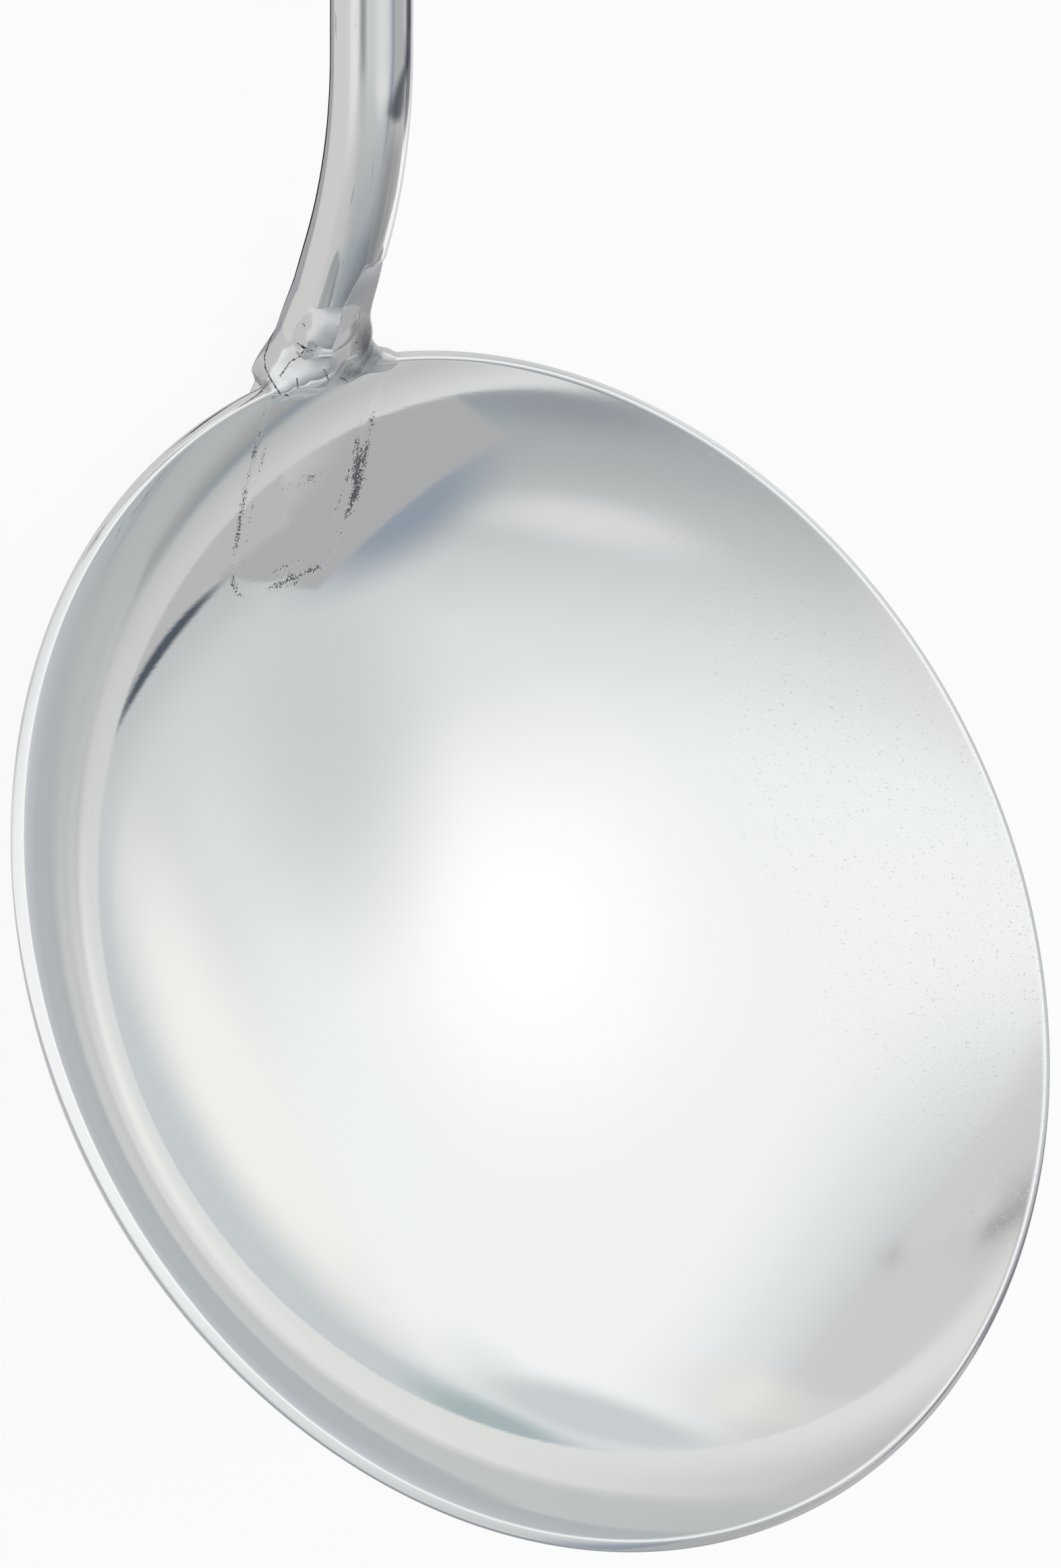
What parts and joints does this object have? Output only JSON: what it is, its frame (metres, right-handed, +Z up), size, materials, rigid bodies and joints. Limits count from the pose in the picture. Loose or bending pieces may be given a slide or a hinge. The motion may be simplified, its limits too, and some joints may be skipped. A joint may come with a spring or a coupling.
{
  "type": "wok ladle",
  "caption": "Round-bowled kitchen ladle of polished stainless steel, with a bent rod handle welded to the bowl and a hollow grip with a hanging hole.",
  "frame": {"origin": "middle of the bounding box's bottom face, on the table that the ladle lies on", "axes": "+X from the bowl to the end of the grip, +Y across the bowl, +Z up from the table"},
  "size_m": [0.4384, 0.12, 0.0752],
  "materials": {
    "bowl_steel": "mirror-polished pressed stainless sheet, with faint polishing lines and pits",
    "rod_steel": "polished stainless bar, forged flat at the bowl",
    "weld_metal": "polished stainless weld bead, lumpy, with small cracks and pits",
    "grip_steel": "polished stainless tube with a pressed end cap"
  },
  "bodies": {
    "root": {"bowl": "bowl_steel", "handle_rod": "rod_steel", "rim_weld": "weld_metal", "tongue_weld": "weld_metal", "grip_tube": "grip_steel", "grip_cap": "grip_steel"}
  },
  "joints": []
}
